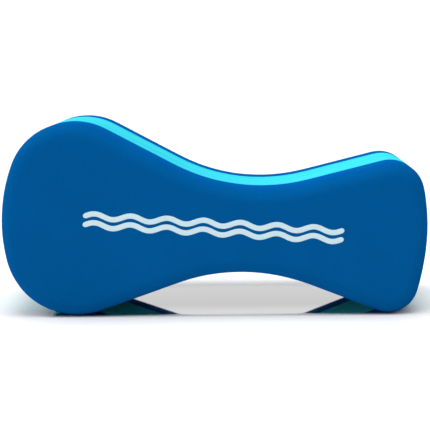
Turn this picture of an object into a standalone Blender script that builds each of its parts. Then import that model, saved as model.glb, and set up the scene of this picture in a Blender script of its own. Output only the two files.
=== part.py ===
"""Pull buoy: a laminated foam swimming aid, gripped between the thighs.

Metres, +Z up. The buoy stands on its long edge: +X runs along its length towards
the small lobe, -Y is the printed front face, and z = 0 is the surface it rests on.
The outline is drawn in a level design frame (u along the length, v across it), and
the resting pose then tips it onto both lobes.
"""
import math
from collections import namedtuple

import bmesh
import bpy
from mathutils import Vector

# Overall size
LENGTH = 0.240
THICKNESS = 0.080
MIDDLE_THICKNESS = 0.040

# Outline: the big lobe's flat end arc, and the waist that the thighs close on
BIG_END_RADIUS = 0.096
WAIST_HALF_HEIGHT = 0.024
WAIST_RADIUS = 0.106

# Outline: each lobe is a crest arc that runs into a flatter end arc, and the upper and
# lower long edges differ a little
Edge = namedtuple(
    "Edge",
    "big_half_height big_crest_radius waist_u small_half_height small_crest_radius small_end_radius",
)
UPPER_EDGE = Edge(
    big_half_height=0.0550,
    big_crest_radius=0.0370,
    waist_u=0.0192,
    small_half_height=0.0433,
    small_crest_radius=0.0180,
    small_end_radius=0.114,
)
LOWER_EDGE = Edge(
    big_half_height=0.0548,
    big_crest_radius=0.0404,
    waist_u=0.0239,
    small_half_height=0.0423,
    small_crest_radius=0.0167,
    small_end_radius=0.141,
)

# Outer edges of the two outer layers
RIM_RADIUS = 0.008
RIM_SEGMENTS = 5

# Bonded seams between the layers
GAP = 0.0003
FILM_THICKNESS = 0.0003
FILM_INSET = 0.0005

# Printed wave lines on the front face
WAVE_LENGTH_TOTAL = 0.143
WAVE_COUNT = 7
WAVE_SWING = 0.0014
WAVE_STROKE = 0.0030
WAVE_SPACING = 0.0050
WAVE_LEVEL = 0.0014
WAVE_STEPS = 12
PRINT_THICKNESS = 0.0003
PRINT_CAP_STEPS = 4

# Largest distance between an arc and the chord that stands for it
CHORD_SAG = 0.00005

# Colours as linear RGB
BLUE_FOAM = (0.001, 0.080, 0.255)
CYAN_FOAM = (0.034, 0.430, 0.510)
CLEAR_GLUE = (0.550, 0.620, 0.600)
WHITE_INK = (0.900, 0.900, 0.900)


def arc(centre, radius, start, end):
    """Points on an arc from angle start to angle end, both ends included."""
    step = 2 * math.acos(1 - CHORD_SAG / radius)
    count = max(2, math.ceil(abs(end - start) / step))
    angles = [start + (end - start) * i / count for i in range(count + 1)]
    return [centre + radius * Vector((math.cos(a), math.sin(a))) for a in angles]


def crest_centre(end_side, half_height, crest_radius, end_radius):
    """Centre of a lobe's crest arc, tucked inside its end arc; end_side is -1 or 1."""
    rise = half_height - crest_radius
    inset = end_radius - math.sqrt((end_radius - crest_radius) ** 2 - rise ** 2)
    return Vector((end_side * (LENGTH / 2 - inset), rise))


def end_centre(end_side, end_radius):
    return Vector((end_side * (LENGTH / 2 - end_radius), 0.0))


def heading(vector):
    return math.atan2(vector.y, vector.x)


def crest_centres(edge):
    """Centres of the big and the small crest arc of one long edge, drawn as an upper edge."""
    big = crest_centre(-1, edge.big_half_height, edge.big_crest_radius, BIG_END_RADIUS)
    small = crest_centre(1, edge.small_half_height, edge.small_crest_radius, edge.small_end_radius)
    return big, small


def half_outline(edge):
    """One long edge, drawn as an upper edge from the big lobe's tip to the small lobe's tip."""
    big_end = end_centre(-1, BIG_END_RADIUS)
    small_end = end_centre(1, edge.small_end_radius)
    big, small = crest_centres(edge)
    waist = Vector((edge.waist_u, WAIST_HALF_HEIGHT + WAIST_RADIUS))

    # Straight flanks touch a crest arc and the waist arc from opposite sides
    to_waist = waist - big
    lean = math.acos((edge.big_crest_radius + WAIST_RADIUS) / to_waist.length)
    big_flank = heading(to_waist) + lean
    to_waist = waist - small
    lean = math.acos((edge.small_crest_radius + WAIST_RADIUS) / to_waist.length)
    small_flank = heading(to_waist) - lean

    big_join = heading(big - big_end)
    small_join = heading(small - small_end)
    return (
        arc(big_end, BIG_END_RADIUS, math.pi, big_join)
        + arc(big, edge.big_crest_radius, big_join, big_flank)[1:]
        + arc(waist, WAIST_RADIUS, big_flank - math.pi, small_flank - math.pi)
        + arc(small, edge.small_crest_radius, small_flank, small_join)
        + arc(small_end, edge.small_end_radius, small_join, 0.0)[1:]
    )


def buoy_outline():
    lower = half_outline(LOWER_EDGE)[1:-1]
    return half_outline(UPPER_EDGE) + [Vector((p.x, -p.y)) for p in reversed(lower)]


def inset_outline(outline, distance):
    """The outline moved inwards by a small distance, point by point."""
    moved = []
    for i, point in enumerate(outline):
        along = (outline[(i + 1) % len(outline)] - outline[i - 1]).normalized()
        moved.append(point + distance * Vector((along.y, -along.x)))
    return moved


def resting_pose():
    """Tilt and offset that set both lobes on the ground, centred over the origin."""
    big, small = crest_centres(LOWER_EDGE)
    big_radius = LOWER_EDGE.big_crest_radius
    between = Vector((small.x - big.x, big.y - small.y))
    turn = math.asin((LOWER_EDGE.small_crest_radius - big_radius) / between.length)
    turn -= heading(between)
    height = big_radius - (big.x * math.sin(turn) - big.y * math.cos(turn))
    left = end_centre(-1, BIG_END_RADIUS).x * math.cos(turn) - BIG_END_RADIUS
    # The small lobe leans down, so its upper edge's end arc is what sticks out furthest
    small_end_radius = UPPER_EDGE.small_end_radius
    right = end_centre(1, small_end_radius).x * math.cos(turn) + small_end_radius
    return turn, Vector((-(left + right) / 2, 0.0, height))


def wave_outline(level):
    """Outline of one wave line: a sine stroke with round ends, at height v = level."""
    pitch = WAVE_LENGTH_TOTAL / WAVE_COUNT
    count = WAVE_COUNT * WAVE_STEPS
    upper, lower = [], []
    for i in range(count + 1):
        u = -WAVE_LENGTH_TOTAL / 2 + WAVE_LENGTH_TOTAL * i / count
        phase = 2 * math.pi * (u + WAVE_LENGTH_TOTAL / 2) / pitch
        slope = WAVE_SWING * 2 * math.pi / pitch * math.cos(phase)
        centre = Vector((u, level + WAVE_SWING * math.sin(phase)))
        normal = Vector((-slope, 1.0)).normalized()
        upper.append(centre + normal * WAVE_STROKE / 2)
        lower.append(centre - normal * WAVE_STROKE / 2)
    tip = heading(upper[-1] - lower[-1])
    right_cap = stroke_end((upper[-1] + lower[-1]) / 2, tip, tip - math.pi)
    tip = heading(lower[0] - upper[0])
    left_cap = stroke_end((upper[0] + lower[0]) / 2, tip, tip - math.pi)
    return upper + right_cap + lower[::-1] + left_cap


def stroke_end(centre, start, end):
    """The inner points of a half-round cap on a stroke."""
    angles = [
        start + (end - start) * i / PRINT_CAP_STEPS for i in range(1, PRINT_CAP_STEPS)
    ]
    return [centre + WAVE_STROKE / 2 * Vector((math.cos(a), math.sin(a))) for a in angles]


def foam_material(name, colour, roughness):
    material = bpy.data.materials.new(name)
    material.use_nodes = True
    shader = material.node_tree.nodes["Principled BSDF"]
    shader.inputs["Base Color"].default_value = (*colour, 1.0)
    shader.inputs["Roughness"].default_value = roughness
    shader.inputs["Metallic"].default_value = 0.0
    material.diffuse_color = (*colour, 1.0)
    return material


def flat_sheet(name, outline, front, back, material, collection, frame):
    """A filled outline that spans depths y = front to y = back."""
    curve = bpy.data.curves.new(name, "CURVE")
    curve.dimensions = "2D"
    curve.fill_mode = "BOTH"
    curve.extrude = (back - front) / 2
    spline = curve.splines.new("POLY")
    spline.points.add(len(outline) - 1)
    for point, place in zip(spline.points, outline):
        point.co = (place.x, place.y, 0.0, 1.0)
    spline.use_cyclic_u = True
    curve.materials.append(material)
    sheet = bpy.data.objects.new(name, curve)
    sheet.rotation_euler = (math.pi / 2, 0.0, 0.0)
    sheet.location = (0.0, (front + back) / 2, 0.0)
    sheet.parent = frame
    collection.objects.link(sheet)
    return sheet


def as_mesh(sheet, collection):
    """The same sheet as a closed mesh with one n-gon on each flat side."""
    name = sheet.name
    bpy.context.view_layer.update()
    evaluated = sheet.evaluated_get(bpy.context.evaluated_depsgraph_get())
    mesh = bpy.data.meshes.new_from_object(evaluated)
    placement, parent = sheet.matrix_basis.copy(), sheet.parent
    bpy.data.objects.remove(sheet)

    shape = bmesh.new()
    shape.from_mesh(mesh)
    bmesh.ops.remove_doubles(shape, verts=shape.verts, dist=GAP / 10)
    for side in (-1, 1):
        flat = [f for f in shape.faces if f.normal.z * side > 0.99]
        bmesh.ops.dissolve_faces(shape, faces=flat)
    bmesh.ops.recalc_face_normals(shape, faces=shape.faces)
    shape.to_mesh(mesh)
    shape.free()

    solid = bpy.data.objects.new(name, mesh)
    solid.matrix_basis = placement
    solid.parent = parent
    collection.objects.link(solid)
    return solid


def round_rim(solid, side):
    """Round the edge of one flat side; side is 1 for the local +Z face, -1 for the other."""
    mesh = solid.data
    weights = mesh.attributes.new("bevel_weight_edge", "FLOAT", "EDGE")
    level = max(v.co.z * side for v in mesh.vertices)
    for edge in mesh.edges:
        ends = [mesh.vertices[i].co.z * side for i in edge.vertices]
        weights.data[edge.index].value = float(min(ends) > level - GAP)
    rim = solid.modifiers.new("rounded_rim", "BEVEL")
    rim.limit_method = "WEIGHT"
    rim.width = RIM_RADIUS
    rim.segments = RIM_SEGMENTS
    mesh.shade_smooth()
    mesh.set_sharp_from_angle(angle=math.radians(40))


def make_foam_layers(collection, frame):
    outline = buoy_outline()
    blue_front = foam_material("front_foam", BLUE_FOAM, 0.55)
    cyan = foam_material("middle_foam", CYAN_FOAM, 0.60)
    blue_back = foam_material("back_foam", BLUE_FOAM, 0.55)
    seam = FILM_THICKNESS + 2 * GAP
    face = THICKNESS / 2
    outer = (MIDDLE_THICKNESS + seam) / 2
    inner = (MIDDLE_THICKNESS - seam) / 2

    front = flat_sheet("front_foam_layer", outline, -face, -outer, blue_front, collection, frame)
    round_rim(as_mesh(front, collection), 1)
    flat_sheet("middle_foam_layer", outline, -inner, inner, cyan, collection, frame)
    back = flat_sheet("back_foam_layer", outline, outer, face, blue_back, collection, frame)
    round_rim(as_mesh(back, collection), -1)


def make_glue_films(collection, frame):
    outline = inset_outline(buoy_outline(), FILM_INSET)
    for name, seam_plane in (
        ("front_glue_film", -MIDDLE_THICKNESS / 2),
        ("back_glue_film", MIDDLE_THICKNESS / 2),
    ):
        glue = foam_material(name, CLEAR_GLUE, 0.35)
        near = seam_plane - FILM_THICKNESS / 2
        flat_sheet(name, outline, near, near + FILM_THICKNESS, glue, collection, frame)


def make_wave_prints(collection, frame):
    back = -THICKNESS / 2 - GAP
    for name, side in (("upper_wave_print", 1), ("lower_wave_print", -1)):
        ink = foam_material(name, WHITE_INK, 0.45)
        outline = wave_outline(WAVE_LEVEL + side * WAVE_SPACING / 2)
        flat_sheet(name, outline, back - PRINT_THICKNESS, back, ink, collection, frame)


def main():
    for old in list(bpy.data.objects):
        bpy.data.objects.remove(old)
    collection = bpy.data.collections.new("pull_buoy")
    bpy.context.scene.collection.children.link(collection)

    turn, offset = resting_pose()
    frame = bpy.data.objects.new("resting_frame", None)
    frame.rotation_euler = (0.0, -turn, 0.0)
    frame.location = offset
    collection.objects.link(frame)

    make_foam_layers(collection, frame)
    make_glue_films(collection, frame)
    make_wave_prints(collection, frame)
    bpy.context.view_layer.update()


main()
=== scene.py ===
import math

import bpy
import numpy as np
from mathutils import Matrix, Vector, geometry, kdtree, noise


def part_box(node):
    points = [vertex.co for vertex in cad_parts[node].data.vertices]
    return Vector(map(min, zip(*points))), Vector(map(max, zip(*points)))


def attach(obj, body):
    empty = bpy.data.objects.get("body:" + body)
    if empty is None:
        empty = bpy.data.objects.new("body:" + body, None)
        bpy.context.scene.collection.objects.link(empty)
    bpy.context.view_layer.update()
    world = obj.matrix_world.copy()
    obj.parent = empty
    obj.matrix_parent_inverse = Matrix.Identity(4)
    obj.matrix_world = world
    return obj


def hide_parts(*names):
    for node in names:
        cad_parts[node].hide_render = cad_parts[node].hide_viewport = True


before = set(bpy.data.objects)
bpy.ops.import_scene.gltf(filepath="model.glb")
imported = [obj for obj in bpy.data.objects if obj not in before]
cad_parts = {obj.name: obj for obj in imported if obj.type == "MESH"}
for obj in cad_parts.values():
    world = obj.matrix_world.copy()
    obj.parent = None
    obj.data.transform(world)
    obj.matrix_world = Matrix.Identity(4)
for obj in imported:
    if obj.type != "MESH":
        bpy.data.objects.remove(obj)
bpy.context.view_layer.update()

# Everything is in metres, in the CAD frame: +X along the buoy, -Y its printed front, z = 0 the floor.
MM = 0.001

# Planes that the CAD nodes give
FRONT_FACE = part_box("front_foam_layer")[0].y
BACK_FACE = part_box("back_foam_layer")[1].y
FRONT_SEAM = sum(corner.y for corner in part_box("front_glue_film")) / 2
BACK_SEAM = sum(corner.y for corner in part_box("back_glue_film")) / 2

# Foam layers
OUTLINE_POINTS = 520
OUTLINE_BLUR = 1.6 * MM
RIM_RADIUS = 8 * MM
RIM_RINGS = 14
FACE_MARGIN = 1.5 * MM
FACE_GRID = 2.2 * MM
GRID_CLEARANCE = 0.7
WALL_STEP = 2.2 * MM
SEAM_HALF = 0.15 * MM
SEAM_CHAMFER = 0.25 * MM
CHAMFER_SOFTENING = 0.3

# The foam's slow wander as (waves per metre, reach in millimetres), and the seed that makes it
# the same every time
WANDER_WAVES = ((22, 0.14), (75, 0.05))
WANDER_SEED = 11

# Glue lines
GLUE_RECESS = 0.2 * MM

# Printed waves
PRINT_POINTS = 640
PRINT_BLUR = 0.35 * MM
PRINT_THICKNESS = 0.07 * MM
PRINT_SINK = 0.03 * MM

# Camera, as it stood before the buoy
CAMERA_PLACE = (0.0222, -0.6403, 0.1509)
CAMERA_PITCH = 0.15363
CAMERA_YAW = -0.03483
CAMERA_ROLL = -0.01673
CAMERA_LENS = 91.62
CAMERA_SENSOR = 36
CAMERA_CLIP_START = 0.01

# Floor: the polished patch that mirrors the buoy, its grey tint painted shade under the buoy that
# lightens towards the front, and where the sheet round it pales
FLOOR_SIZE = 4
PATCH_MIDDLE_X = 4 * MM
PATCH_FADE_X = (94 * MM, 102 * MM)
PATCH_FADE_FRONT = (-42 * MM, -32 * MM)
PATCH_FADE_BACK = (28 * MM, 60 * MM)
PATCH_PAINTED_SHADE_FADE = (-8 * MM, -32 * MM)
SHEET_PALES = (0.3, 1.0)

# Studio light: each part of the tent as (axis, where it starts, where it is full, strength), and
# each lamp as (name, place, size, power)
LOW_RING = (0.38, 0.10, 1.00)
TENT_PARTS = (
    ("Z", 0.3, 0.95, 1.35),
    ("Y", 0.6, 0.95, 0.45),
    ("Y", -0.3, -0.95, 0.22),
    ("X", -0.3, -0.95, 1.65),
)
LAMPS = (
    ("key", (-0.70, -1.10, 0.45), 0.7, 1.0),
    ("overhead", (0.0, -0.05, 1.0), 0.8, 9.3),
)
LAMP_TARGET = (0, 0, 0.05)


# ---------------------------------------------------------------- outlines

def cad_outline(node):
    """The outline of a flat CAD node as (x, z) points, counter-clockwise from the front."""
    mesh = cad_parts[node].data
    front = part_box(node)[0].y
    places = [(round(v.co.x, 6), round(v.co.z, 6)) for v in mesh.vertices]
    sides = set()
    for face in mesh.polygons:
        corners = list(face.vertices)
        if max(mesh.vertices[i].co.y for i in corners) < front + 0.01 * MM:
            for a, b in zip(corners, corners[1:] + corners[:1]):
                sides.add((places[a], places[b]))
    following = {a: b for a, b in sides if (b, a) not in sides}
    loop = [min(following)]
    while following[loop[-1]] != loop[0]:
        loop.append(following[loop[-1]])
    return np.array(loop)


def smooth_loop(outline, count, blur):
    """Evenly spaced points round an outline, with its corners rounded over a length of blur."""
    closed = np.vstack([outline, outline[:1]])
    run = np.concatenate([[0], np.cumsum(np.linalg.norm(np.diff(closed, axis=0), axis=1))])
    places = np.linspace(0, run[-1], count, endpoint=False)
    loop = np.column_stack([np.interp(places, run, closed[:, k]) for k in (0, 1)])
    spread = blur * count / run[-1]
    offsets = np.arange(-math.ceil(3 * spread), math.ceil(3 * spread) + 1)
    weights = np.exp(-0.5 * (offsets / spread) ** 2)
    return sum(w * np.roll(loop, s, axis=0) for s, w in zip(offsets, weights / weights.sum()))


def outward(loop):
    along = np.roll(loop, -1, axis=0) - np.roll(loop, 1, axis=0)
    along /= np.linalg.norm(along, axis=1)[:, None]
    return np.column_stack([along[:, 1], -along[:, 0]])


# ---------------------------------------------------------------- meshes

def inside_grid(loop, spacing):
    """Points of a triangular grid that lie inside a loop and not too near it."""
    low, high = loop.min(0), loop.max(0)
    grid = [
        (x + (row % 2) * spacing / 2, z)
        for row, z in enumerate(np.arange(low[1], high[1], spacing * math.sqrt(3) / 2))
        for x in np.arange(low[0], high[0], spacing)
    ]
    grid = np.array(grid)
    ahead = np.roll(loop, -1, axis=0)
    above, ahead_above = (side[:, 1] > grid[:, 1:2] for side in (loop, ahead))
    slope = (ahead - loop)[:, 0] / np.where(ahead[:, 1] == loop[:, 1], 1, (ahead - loop)[:, 1])
    crossing = loop[:, 0] + slope * (grid[:, 1:2] - loop[:, 1])
    hits = ((above != ahead_above) & (grid[:, 0:1] < crossing)).sum(axis=1)
    tree = kdtree.KDTree(len(loop))
    for i, (x, z) in enumerate(loop):
        tree.insert((x, z, 0), i)
    tree.balance()
    return [p for p in grid[hits % 2 == 1] if tree.find((*p, 0))[2] > spacing * GRID_CLEARANCE]


def cap_faces(loop, spacing):
    """Fills a loop: (extra points, triangles), where the loop's own points come first."""
    extra = inside_grid(loop, spacing) if spacing else []
    points = [Vector(p) for p in loop] + [Vector(p) for p in extra]
    ring = list(range(len(loop)))
    _, _, faces, originals, _, _ = geometry.delaunay_2d_cdt(points, [], [ring], 1, 1e-9)
    return extra, [[originals[i][0] for i in face] for face in faces]


def lofted_solid(name, loop, profile, spacing=None, shape=None):
    """A closed solid whose side runs through the profile's (inset, y) rings, front to back."""
    normals = outward(loop)
    rings = [loop - inset * normals for inset, _ in profile]
    count = len(loop)
    points = [(x, y, z) for ring, (_, y) in zip(rings, profile) for x, z in ring]
    faces = []
    for r in range(len(rings) - 1):
        for i in range(count):
            j = (i + 1) % count
            near, far = r * count, (r + 1) * count
            faces.append((near + i, far + i, far + j, near + j))
    for r, turn in ((0, 1), (len(rings) - 1, -1)):
        extra, triangles = cap_faces(rings[r], spacing)
        start = len(points) - count
        points += [(x, profile[r][1], z) for x, z in extra]
        for triangle in triangles:
            ids = [r * count + i if i < count else start + i for i in triangle]
            faces.append(tuple(ids[::turn]))
    if shape:
        points = [shape(Vector(p)) for p in points]
    mesh = bpy.data.meshes.new(name)
    mesh.from_pydata(points, [], faces)
    mesh.shade_smooth()
    solid = bpy.data.objects.new(name, mesh)
    bpy.context.scene.collection.objects.link(solid)
    return solid


def steps(start, end, step):
    count = max(1, math.ceil(abs(end - start) / step))
    return list(np.linspace(start, end, count + 1))


def uneven(point):
    """Foam is never quite true: a slow wander of the surface, the same through every layer."""
    (slow, far), (quick, near) = WANDER_WAVES
    drift = noise.noise_vector(point * slow) * far + noise.noise_vector(point * quick) * near
    return point + Vector((drift.x, drift.y, drift.z)) * MM


def outer_profile(face, seam, toward_back):
    """Rings of an outer layer from its flat face, round its rim and down its wall to the seam."""
    side = 1 if toward_back > 0 else -1
    rings = [(RIM_RADIUS + FACE_MARGIN, face)]
    for k in range(RIM_RINGS + 1):
        turn = math.pi / 2 * k / RIM_RINGS
        inset = RIM_RADIUS * (1 - math.sin(turn))
        rings.append((inset, face + side * RIM_RADIUS * (1 - math.cos(turn))))
    edge = seam - side * SEAM_HALF
    wall_end = edge - side * SEAM_CHAMFER
    rings += [(0, y) for y in steps(rings[-1][1], wall_end, WALL_STEP)[1:]]
    softened = CHAMFER_SOFTENING * SEAM_CHAMFER
    return rings + [(softened, edge - side * softened), (SEAM_CHAMFER, edge)]


def middle_profile():
    front, back = FRONT_SEAM + SEAM_HALF, BACK_SEAM - SEAM_HALF
    softened = CHAMFER_SOFTENING * SEAM_CHAMFER
    rings = [(SEAM_CHAMFER, front), (softened, front + softened)]
    rings += [(0, y) for y in steps(front + SEAM_CHAMFER, back - SEAM_CHAMFER, WALL_STEP)]
    return rings + [(softened, back - softened), (SEAM_CHAMFER, back)]


# ---------------------------------------------------------------- shader helpers

class Look:
    """A material's node tree with a Principled shader, and short calls to fill it."""

    def __init__(self, name, roughness=0.5, specular=0.5, tint=(1, 1, 1)):
        self.material = bpy.data.materials.new(name)
        self.material.use_nodes = True
        self.tree = self.material.node_tree
        self.shader = self.tree.nodes["Principled BSDF"]
        self.shader.inputs["Roughness"].default_value = roughness
        self.shader.inputs["Specular IOR Level"].default_value = specular
        self.shader.inputs["Specular Tint"].default_value = (*tint, 1)
        self.place = self.node("ShaderNodeTexCoord").outputs["Object"]

    def node(self, kind, inputs=None, **settings):
        made = self.tree.nodes.new(kind)
        for key, value in settings.items():
            setattr(made, key, value)
        for key, value in (inputs or {}).items():
            if isinstance(value, bpy.types.NodeSocket):
                self.tree.links.new(value, made.inputs[key])
            else:
                made.inputs[key].default_value = value
        return made

    def axes(self):
        return self.node("ShaderNodeSeparateXYZ", {"Vector": self.place}).outputs

    def stretched(self, scale):
        mapping = self.node("ShaderNodeMapping", {"Vector": self.place, "Scale": scale})
        return mapping.outputs["Vector"]

    def noise(self, scale, detail=3, roughness=0.5, place=None):
        inputs = {"Vector": place or self.place, "Scale": scale}
        inputs.update({"Detail": detail, "Roughness": roughness})
        return self.node("ShaderNodeTexNoise", inputs).outputs["Fac"]

    def cells(self, scale):
        inputs = {"Vector": self.place, "Scale": scale}
        return self.node("ShaderNodeTexVoronoi", inputs).outputs["Distance"]

    def ranged(self, value, low, high, to_low=0.0, to_high=1.0, smooth=False):
        inputs = {"Value": value, "From Min": low, "From Max": high, "To Min": to_low, "To Max": to_high}
        kind = "SMOOTHSTEP" if smooth else "LINEAR"
        return self.node("ShaderNodeMapRange", inputs, interpolation_type=kind).outputs["Result"]

    def math(self, operation, first, second=0.0):
        return self.node("ShaderNodeMath", {0: first, 1: second}, operation=operation).outputs[0]

    def mix(self, factor, first, second, blend="MIX"):
        made = self.node("ShaderNodeMix", data_type="RGBA", blend_type=blend)
        for key, value in ((0, factor), (6, first), (7, second)):
            if isinstance(value, bpy.types.NodeSocket):
                self.tree.links.new(value, made.inputs[key])
            else:
                made.inputs[key].default_value = value if key == 0 else (*value, 1)
        return made.outputs[2]

    def bump(self, height, distance, strength=1.0, below=None):
        inputs = {"Height": height, "Distance": distance, "Strength": strength}
        if below is not None:
            inputs["Normal"] = below
        return self.node("ShaderNodeBump", inputs).outputs["Normal"]

    def feed(self, socket, value):
        self.tree.links.new(value, self.shader.inputs[socket])


# ---------------------------------------------------------------- materials

def blue_foam():
    """Moulded skin of dark blue closed-cell foam: fine pebbles and a slow mottle, with painted shade in
    small pits and on the rounded rims.
    """
    look = Look("blue_foam", specular=0.0)
    look.shader.inputs["Diffuse Roughness"].default_value = 0.6
    mottle = look.ranged(look.noise(38, detail=4), 0.3, 0.7)
    pebble = look.cells(1150)
    speck = look.ranged(look.noise(900, detail=2), 0.35, 0.7)
    colour = look.mix(mottle, (0.0003, 0.077, 0.245), (0.0005, 0.083, 0.265))
    colour = look.mix(look.math("MULTIPLY", speck, 0.4), colour, (0.0007, 0.092, 0.290))
    # Darker specks for small pits in the skin: painted shade in the pits.
    pit_painted_shade = look.ranged(look.noise(620, detail=2), 0.60, 0.72, 0.0, 0.35)
    colour = look.mix(pit_painted_shade, colour, (0.0002, 0.064, 0.205))
    # Painted shade: the rounded rims (|Y| from 33 to 39.5 mm) are darkened and made bluer.
    split = look.axes()
    edge = look.ranged(look.math("ABSOLUTE", split["Y"]), 39.5 * MM, 33 * MM, smooth=True)
    colour = look.mix(edge, colour, (0.9, 0.88, 1.00), blend="MULTIPLY")
    look.feed("Base Color", colour)
    look.feed("Roughness", look.ranged(look.noise(260, detail=3), 0.3, 0.7, 0.72, 0.84))
    coarse = look.bump(look.noise(160, detail=3), 0.10 * MM, 0.6)
    look.feed("Normal", look.bump(pebble, 0.08 * MM, 0.8, coarse))
    return look.material


def cyan_foam():
    """Cut wall of the bright cyan foam: open cells drawn into long streaks by the blade, and painted
    shade near the seams.
    """
    look = Look("cyan_foam", specular=0.0)
    look.shader.inputs["Diffuse Roughness"].default_value = 0.6
    streak_place = look.stretched((0.035, 1.0, 0.035))
    streak = look.noise(700, detail=4, roughness=0.6, place=streak_place)
    broad = look.noise(190, detail=2, place=streak_place)
    colour = look.mix(look.ranged(streak, 0.40, 0.60), (0.018, 0.395, 0.49), (0.034, 0.450, 0.545))
    colour = look.mix(look.ranged(broad, 0.35, 0.62, 0.0, 0.5), colour, (0.042, 0.475, 0.565))
    # Painted shade: the cyan wall darkens towards both seams with the blue layers.
    split = look.axes()
    seam_painted_shade = look.ranged(look.math("ABSOLUTE", split["Y"]), 15 * MM, 20 * MM, 0.0, 0.35, smooth=True)
    look.feed("Base Color", look.mix(seam_painted_shade, colour, (0.012, 0.32, 0.46)))
    look.feed("Roughness", look.ranged(streak, 0.3, 0.7, 0.58, 0.72))
    lines = look.bump(streak, 0.12 * MM, 0.7)
    look.feed("Normal", look.bump(look.cells(1600), 0.05 * MM, 0.6, lines))
    return look.material


def glue():
    look = Look("set_glue", roughness=0.4, specular=0.4, tint=(0.3, 0.8, 1.0))
    colour = look.mix(look.noise(300), (0.004, 0.22, 0.40), (0.008, 0.30, 0.48))
    look.feed("Base Color", colour)
    return look.material


def white_ink():
    """Screen-printed ink: opaque white, slightly thin where the foam's pebbles stand up."""
    look = Look("white_ink", specular=0.35)
    thin = look.ranged(look.noise(1400, detail=3), 0.62, 0.78, 0.0, 0.45)
    colour = look.mix(look.noise(120), (0.43, 0.57, 0.62), (0.48, 0.61, 0.66))
    look.feed("Base Color", look.mix(thin, colour, (0.35, 0.55, 0.72)))
    look.feed("Roughness", look.ranged(look.noise(400), 0.3, 0.7, 0.38, 0.52))
    look.feed("Normal", look.bump(look.cells(1150), 0.03 * MM, 0.5))
    return look.material


# ---------------------------------------------------------------- the buoy

def own(piece, material, slot, *nodes):
    piece.data.materials.append(material)
    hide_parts(*nodes)
    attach(piece, "root")
    return piece


def build_buoy():
    noise.seed_set(WANDER_SEED)
    loop = smooth_loop(cad_outline("middle_foam_layer"), OUTLINE_POINTS, OUTLINE_BLUR)
    blue, cyan, set_glue, ink = blue_foam(), cyan_foam(), glue(), white_ink()

    front = lofted_solid("front_foam", loop, outer_profile(FRONT_FACE, FRONT_SEAM, 1), FACE_GRID, uneven)
    middle = lofted_solid("middle_foam", loop, middle_profile(), None, uneven)
    rings = outer_profile(BACK_FACE, BACK_SEAM, -1)[::-1]
    back = lofted_solid("back_foam", loop, rings, FACE_GRID, uneven)
    own(front, blue, "blue_foam", "front_foam_layer")
    own(middle, cyan, "cyan_foam", "middle_foam_layer")
    own(back, blue, "blue_foam", "back_foam_layer")

    for name, node, seam in (
        ("front_glue_line", "front_glue_film", FRONT_SEAM),
        ("back_glue_line", "back_glue_film", BACK_SEAM),
    ):
        rings = [(GLUE_RECESS, seam - SEAM_HALF), (GLUE_RECESS, seam + SEAM_HALF)]
        own(lofted_solid(name, loop, rings, None, uneven), set_glue, "clear_glue", node)

    for side in ("upper", "lower"):
        node = f"{side}_wave_print"
        stroke = smooth_loop(cad_outline(node), PRINT_POINTS, PRINT_BLUR)
        top = FRONT_FACE - PRINT_THICKNESS
        rings = [
            (0.30 * MM, top),
            (0.12 * MM, top + 0.15 * PRINT_THICKNESS),
            (0.03 * MM, top + 0.5 * PRINT_THICKNESS),
            (0.0, FRONT_FACE + PRINT_SINK),
        ]
        own(lofted_solid(f"{side}_wave", stroke, rings, None, uneven), ink, "white_ink", node)


# ---------------------------------------------------------------- the studio

def build_floor():
    """Pale floor, polished only where the buoy stands; the polish's grey tint is painted shade under the
    buoy.
    """
    bpy.ops.mesh.primitive_plane_add(size=FLOOR_SIZE)
    floor = bpy.context.object
    floor.name = "floor"
    look = Look("pale_floor", specular=0.3)
    split = look.axes()
    beyond_x = look.math("ABSOLUTE", look.math("ADD", split["X"], -PATCH_MIDDLE_X))
    in_x = look.ranged(beyond_x, *PATCH_FADE_X, 1.0, 0.0, smooth=True)
    in_front = look.ranged(split["Y"], *PATCH_FADE_FRONT, 0.0, 1.0, smooth=True)
    in_back = look.ranged(split["Y"], *PATCH_FADE_BACK, 1.0, 0.0, smooth=True)
    polish = look.math("MULTIPLY", look.math("MULTIPLY", in_front, in_back), in_x)
    # The patch's grey tint is painted shade, darker under the buoy's waist and lighter towards the
    # front; the mirror reflection itself is real.
    toward_front = look.ranged(split["Y"], *PATCH_PAINTED_SHADE_FADE, smooth=True)
    patch_mirror_and_painted_shade = look.mix(toward_front, (0.44, 0.44, 0.45), (0.64, 0.64, 0.65))
    reach = look.node("ShaderNodeVectorMath", {0: look.place}, operation="LENGTH").outputs["Value"]
    pale = look.ranged(reach, *SHEET_PALES)
    sheet = look.mix(pale, (0.70, 0.70, 0.70), (0.92, 0.92, 0.92))
    look.feed("Base Color", look.mix(polish, sheet, patch_mirror_and_painted_shade))
    look.feed("Metallic", polish)
    look.feed("Roughness", look.ranged(polish, 0.0, 1.0, 0.7, 0.04))
    floor.data.materials.append(look.material)


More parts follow.
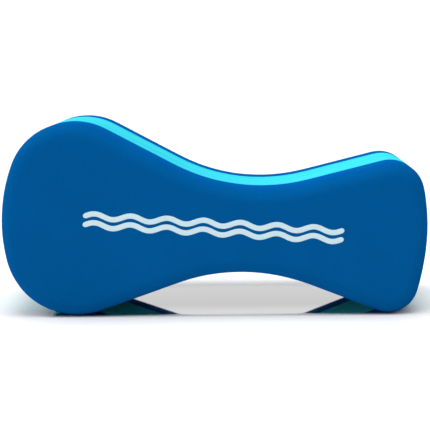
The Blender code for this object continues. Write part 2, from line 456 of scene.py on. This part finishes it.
def build_world():
    """A soft tent of light: bright overhead and on the left, pale low down all the way round."""
    world = bpy.data.worlds.new("soft_tent")
    bpy.context.scene.world = world
    world.use_nodes = True
    tree = world.node_tree
    backing = tree.nodes["Background"]
    way = tree.nodes.new("ShaderNodeTexCoord").outputs["Generated"]
    split = tree.nodes.new("ShaderNodeSeparateXYZ")
    tree.links.new(way, split.inputs[0])
    tilt = tree.nodes.new("ShaderNodeMath")
    tilt.operation = "ABSOLUTE"
    tree.links.new(split.outputs["Z"], tilt.inputs[0])

    def part(value, start, full, amount):
        ramp = tree.nodes.new("ShaderNodeMapRange")
        ramp.interpolation_type = "SMOOTHSTEP"
        tree.links.new(value, ramp.inputs["Value"])
        numbers = {"From Min": start, "From Max": full, "To Min": 0.0, "To Max": amount}
        for key, number in numbers.items():
            ramp.inputs[key].default_value = number
        return ramp.outputs["Result"]

    total = part(tilt.outputs[0], *LOW_RING)
    for axis, start, full, amount in TENT_PARTS:
        add = tree.nodes.new("ShaderNodeMath")
        tree.links.new(total, add.inputs[0])
        tree.links.new(part(split.outputs[axis], start, full, amount), add.inputs[1])
        total = add.outputs[0]
    tree.links.new(total, backing.inputs["Strength"])
    backing.inputs["Color"].default_value = (1, 1, 1, 1)


def area_light(name, place, size, power):
    lamp = bpy.data.lights.new(name, "AREA")
    lamp.shape = "DISK"
    lamp.size = size
    lamp.energy = power
    holder = bpy.data.objects.new(name, lamp)
    holder.location = place
    holder.rotation_euler = (Vector(LAMP_TARGET) - Vector(place)).to_track_quat("-Z", "Y").to_euler()
    bpy.context.scene.collection.objects.link(holder)


def build_camera():
    camera = bpy.data.objects.new("camera", bpy.data.cameras.new("camera"))
    camera.data.lens = CAMERA_LENS
    camera.data.sensor_width = CAMERA_SENSOR
    camera.data.clip_start = CAMERA_CLIP_START
    camera.location = CAMERA_PLACE
    camera.rotation_euler = (math.pi / 2 - CAMERA_PITCH, 0, -CAMERA_YAW)
    bpy.context.scene.collection.objects.link(camera)
    bpy.context.view_layer.update()
    camera.rotation_euler.rotate_axis("Z", CAMERA_ROLL)
    bpy.context.scene.camera = camera


build_buoy()
build_floor()
build_world()
for lamp_values in LAMPS:
    area_light(*lamp_values)
build_camera()
bpy.context.scene.view_settings.view_transform = "Standard"
